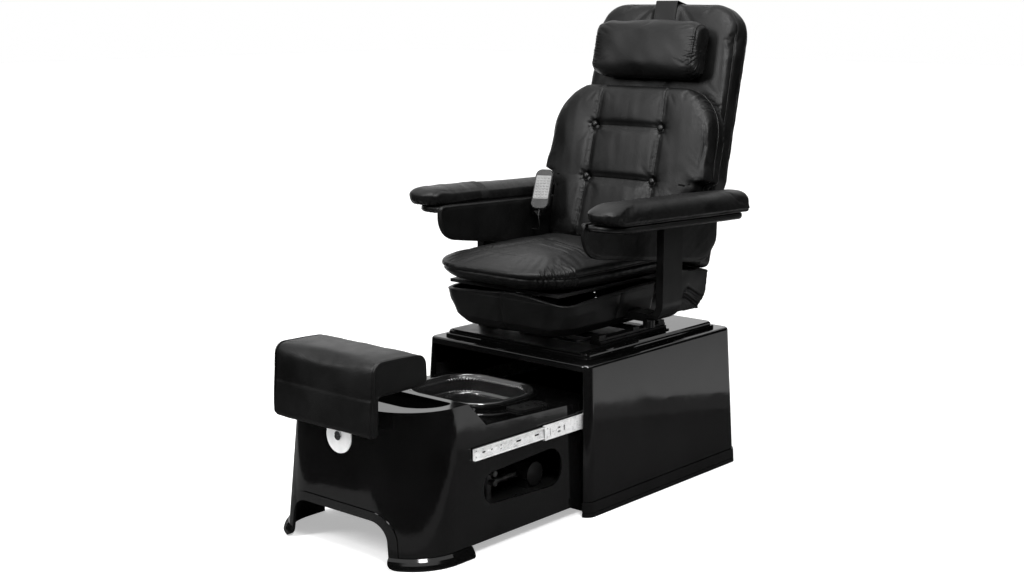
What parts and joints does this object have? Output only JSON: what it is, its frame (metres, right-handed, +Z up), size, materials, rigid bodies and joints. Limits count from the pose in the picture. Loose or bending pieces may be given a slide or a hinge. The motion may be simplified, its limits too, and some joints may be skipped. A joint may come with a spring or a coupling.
{
  "type": "pedicure spa chair",
  "caption": "Black reclining salon chair on a box pedestal with a foot bath that slides out on drawer slides, padded footrest, armrests, head pillow and corded handset.",
  "frame": {"origin": "on the floor at the centre of the pedestal's footprint", "axes": "+Z up; the sitter faces -Y, and +X is the sitter's left"},
  "size_m": [0.8176, 1.6297, 1.4616],
  "materials": {
    "black_gelcoat": "gloss",
    "black_leatherette": "satin",
    "black_steel": "satin",
    "bright_zinc": "satin",
    "chrome": "polished",
    "black_board": "matte",
    "basin_plastic": "gloss",
    "black_plastic": "matte",
    "grey_keypad": "satin",
    "black_rubber": "matte"
  },
  "bodies": {
    "pedestal": {"pedestal_shell": "black_gelcoat", "floor_board": "black_board", "side_boards": "black_board", "top_plate": "black_gelcoat", "cable_gland": "black_rubber", "power_supply": "black_plastic", "slide_outer": "bright_zinc", "seat_mount_plate": "black_steel", "seat_rails": "black_steel"},
    "bath": {"bath_shell": "black_gelcoat", "equipment_tray": "black_plastic", "control_pod": "black_plastic", "lock_plate": "chrome", "footrest_sleeve": "black_steel", "slide_inner_left": "bright_zinc", "slide_inner_right": "bright_zinc", "slide_screws": "bright_zinc", "jet_motor": "black_plastic", "drain_pump": "black_plastic", "hose_and_fitting": "chrome"},
    "slide_middle_l": {"slide_middle_left": "bright_zinc"},
    "slide_middle_r": {"slide_middle_right": "bright_zinc"},
    "foot_basin": {"basin": "basin_plastic"},
    "jet_switch": {"jet_button": "black_plastic"},
    "drain_switch": {"drain_button": "black_plastic"},
    "footrest_lock": {"lock_cam": "chrome"},
    "footrest": {"footrest_post": "bright_zinc", "footrest_pad": "black_leatherette"},
    "seat": {"seat_runners": "black_steel", "seat_frame": "black_steel", "seat_board": "black_board", "seat_skirt": "black_leatherette", "seat_cushion": "black_leatherette", "recline_brackets": "black_steel", "recline_actuator": "black_plastic"},
    "seat_release": {"release_bar": "black_steel"},
    "actuator_rod": {"recline_rod": "bright_zinc"},
    "backrest": {"back_frame": "black_board", "back_cushion": "black_leatherette", "lumbar_pad": "black_leatherette", "tuft_buttons": "black_leatherette", "vibration_motors": "black_plastic", "pillow_strap": "black_leatherette", "rear_cover": "black_leatherette"},
    "head_pillow": {"pillow": "black_leatherette"},
    "arm_left": {"arm_post_left": "black_steel", "arm_board_left": "black_board", "arm_panel_left": "black_leatherette", "arm_pad_left": "black_leatherette"},
    "arm_right": {"arm_post_right": "black_steel", "arm_board_right": "black_board", "arm_panel_right": "black_leatherette", "arm_pad_right": "black_leatherette", "arm_sleeve": "black_leatherette", "handset": "black_plastic", "handset_keypad": "grey_keypad", "handset_clip": "black_plastic", "handset_cord": "black_rubber"},
    "knob_left": {"arm_knob_left": "black_plastic"},
    "knob_right": {"arm_knob_right": "black_plastic"}
  },
  "joints": [
    {"name": "bath_slide", "type": "slide", "parent": "pedestal", "child": "bath", "axis": [0, -1, 0], "range_m": [-0.462, 0]},
    {"name": "slide_middle_left_travel", "type": "slide", "parent": "pedestal", "child": "slide_middle_l", "axis": [0, -1, 0], "range_m": [-0.17556, 0]},
    {"name": "slide_middle_right_travel", "type": "slide", "parent": "pedestal", "child": "slide_middle_r", "axis": [0, -1, 0], "range_m": [-0.17556, 0]},
    {"name": "basin_lift", "type": "slide", "parent": "bath", "child": "foot_basin", "axis": [0, 0, 1], "range_m": [0, 0.12]},
    {"name": "jet_button_press", "type": "slide", "parent": "bath", "child": "jet_switch", "axis": [0, 0, 1], "range_m": [-0.0015, 0], "stiffness_N_per_m": 400},
    {"name": "drain_button_press", "type": "slide", "parent": "bath", "child": "drain_switch", "axis": [0, 0, 1], "range_m": [-0.0015, 0], "stiffness_N_per_m": 400},
    {"name": "footrest_lock_turn", "type": "hinge", "parent": "bath", "child": "footrest_lock", "pos_m": [0, -1.03165, 0.325], "axis": [0, -0.9992, 0.041], "range_deg": [0, 90]},
    {"name": "footrest_height", "type": "slide", "parent": "bath", "child": "footrest", "axis": [0, 0, 1], "range_m": [-0.04, 0.06]},
    {"name": "seat_slide", "type": "slide", "parent": "pedestal", "child": "seat", "axis": [0, -1, 0], "range_m": [-0.08, 0.08]},
    {"name": "seat_release_lift", "type": "hinge", "parent": "seat", "child": "seat_release", "pos_m": [0, -0.15, 0.48], "axis": [-1, 0, 0], "range_deg": [0, 3], "stiffness_Nm_per_rad": 4},
    {"name": "recline", "type": "hinge", "parent": "seat", "child": "backrest", "pos_m": [0, 0.2, 0.6], "axis": [-1, 0, 0], "range_deg": [0, 30]},
    {"name": "recline_rod_travel", "type": "slide", "parent": "seat", "child": "actuator_rod", "axis": [0, 1, 0], "range_m": [-0.0249, 0]},
    {"name": "pillow_height", "type": "slide", "parent": "backrest", "child": "head_pillow", "axis": [0, 0.248, 0.9688], "range_m": [-0.018, 0.05]},
    {"name": "arm_left_width", "type": "slide", "parent": "seat", "child": "arm_left", "axis": [1, 0, 0], "range_m": [0, 0.03]},
    {"name": "arm_right_width", "type": "slide", "parent": "seat", "child": "arm_right", "axis": [-1, 0, 0], "range_m": [0, 0.03]},
    {"name": "knob_left_turn", "type": "hinge", "parent": "seat", "child": "knob_left", "pos_m": [0.283, -0.034, 0.51], "axis": [0, 0, 1], "range_deg": [-180, 180]},
    {"name": "knob_right_turn", "type": "hinge", "parent": "seat", "child": "knob_right", "pos_m": [-0.283, -0.034, 0.51], "axis": [0, 0, 1], "range_deg": [-180, 180]}
  ],
  "couplings": [
    {"joint": "slide_middle_left_travel", "follows": "bath_slide", "ratio": 0.38},
    {"joint": "slide_middle_right_travel", "follows": "bath_slide", "ratio": 0.38},
    {"joint": "recline_rod_travel", "follows": "recline", "m_per_rad": -0.0474}
  ]
}
